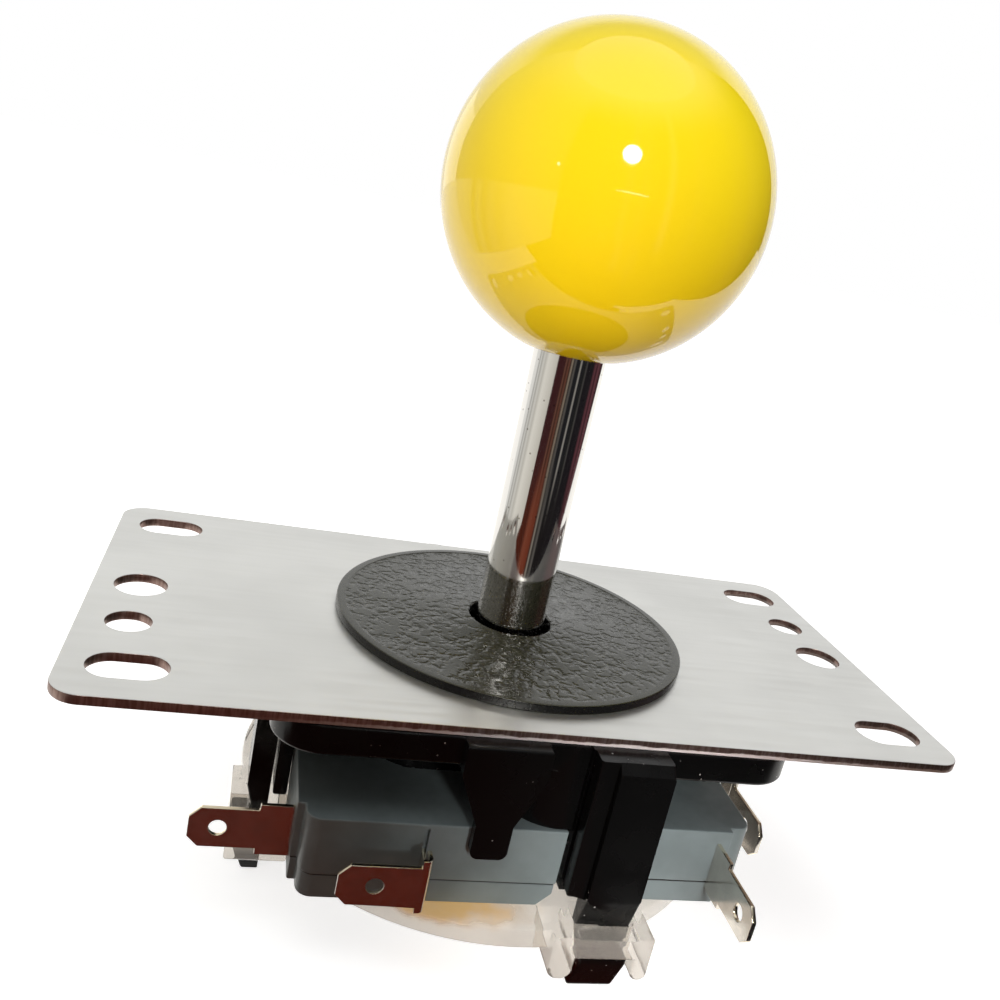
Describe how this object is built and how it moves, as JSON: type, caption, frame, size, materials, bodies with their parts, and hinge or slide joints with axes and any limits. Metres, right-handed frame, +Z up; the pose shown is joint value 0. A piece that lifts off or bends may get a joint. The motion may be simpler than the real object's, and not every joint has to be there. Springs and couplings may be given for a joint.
{
  "type": "arcade joystick lever",
  "caption": "Arcade joystick lever: ball top on a sprung tilting shaft, slotted mounting plate, black moulded body, pinwheel of snap-action switches with push-on tabs, clear gate.",
  "frame": {"origin": "on the lever's axis, on the top face of the mounting plate", "axes": "+Z up the lever to the ball, +X along the plate's length, -Y towards the front"},
  "size_m": [0.094, 0.067, 0.095],
  "materials": {
    "ball_yellow": "gloss",
    "insert_brass": "turned",
    "shaft_chrome": "polished",
    "clip_steel": "stamped",
    "pivot_nylon": "satin",
    "actuator_black": "satin",
    "spring_steel": "drawn wire",
    "washer_nylon": "satin",
    "dust_washer_black": "grained",
    "plate_zinc": "zinc plated",
    "screw_steel": "plated",
    "body_black": "gloss",
    "gate_clear": "clear",
    "switch_grey": "satin",
    "plunger_grey": "satin",
    "terminal_tin": "tin plated"
  },
  "bodies": {
    "base": {"mounting_plate": "plate_zinc", "plate_screws": "screw_steel", "main_body": "body_black", "dust_washer": "dust_washer_black", "spring_washer": "washer_nylon", "gate_frame": "gate_clear", "restrictor_gate": "gate_clear", "front_switch_case": "switch_grey", "front_switch_cover": "switch_grey", "front_switch_com_terminal": "terminal_tin", "front_switch_no_terminal": "terminal_tin", "right_switch_case": "switch_grey", "right_switch_cover": "switch_grey", "right_switch_com_terminal": "terminal_tin", "right_switch_no_terminal": "terminal_tin", "back_switch_case": "switch_grey", "back_switch_cover": "switch_grey", "back_switch_com_terminal": "terminal_tin", "back_switch_no_terminal": "terminal_tin", "left_switch_case": "switch_grey", "left_switch_cover": "switch_grey", "left_switch_com_terminal": "terminal_tin", "left_switch_no_terminal": "terminal_tin"},
    "spring": {"centering_spring": "spring_steel"},
    "lever_tilt": {"pivot_ball": "pivot_nylon", "actuator": "actuator_black"},
    "lever": {"lever_shaft": "shaft_chrome", "ball_top": "ball_yellow", "ball_insert": "insert_brass", "retaining_clip": "clip_steel"},
    "front_plunger": {"front_switch_plunger": "plunger_grey"},
    "right_plunger": {"right_switch_plunger": "plunger_grey"},
    "back_plunger": {"back_switch_plunger": "plunger_grey"},
    "left_plunger": {"left_switch_plunger": "plunger_grey"}
  },
  "joints": [
    {"name": "lever_forward_back", "type": "hinge", "parent": "base", "child": "spring", "pos_m": [0, 0, -0.0024], "axis": [1, 0, 0], "range_deg": [-8, 8], "stiffness_Nm_per_rad": 0.9, "deforming": ["centering_spring"]},
    {"name": "lever_left_right", "type": "hinge", "parent": "spring", "child": "lever_tilt", "pos_m": [0, 0, -0.0024], "axis": [0, 1, 0], "range_deg": [-8, 8], "stiffness_Nm_per_rad": 0.9, "deforming": ["centering_spring"]},
    {"name": "lever_spin", "type": "hinge", "parent": "lever_tilt", "child": "lever", "pos_m": [0, 0, -0.0024], "axis": [0, 0, 1], "continuous": true},
    {"name": "front_plunger_slide", "type": "slide", "parent": "base", "child": "front_plunger", "axis": [0, 1, 0], "range_m": [-0.00125, 0.00125]},
    {"name": "right_plunger_slide", "type": "slide", "parent": "base", "child": "right_plunger", "axis": [1, 0, 0], "range_m": [-0.00125, 0.00125]},
    {"name": "back_plunger_slide", "type": "slide", "parent": "base", "child": "back_plunger", "axis": [0, 1, 0], "range_m": [-0.00125, 0.00125]},
    {"name": "left_plunger_slide", "type": "slide", "parent": "base", "child": "left_plunger", "axis": [1, 0, 0], "range_m": [-0.00125, 0.00125]}
  ],
  "couplings": [
    {"joint": "front_plunger_slide", "follows": "lever_forward_back", "m_per_rad": 0.0089524},
    {"joint": "right_plunger_slide", "follows": "lever_left_right", "m_per_rad": -0.0089524},
    {"joint": "back_plunger_slide", "follows": "lever_forward_back", "m_per_rad": 0.0089524},
    {"joint": "left_plunger_slide", "follows": "lever_left_right", "m_per_rad": -0.0089524}
  ]
}
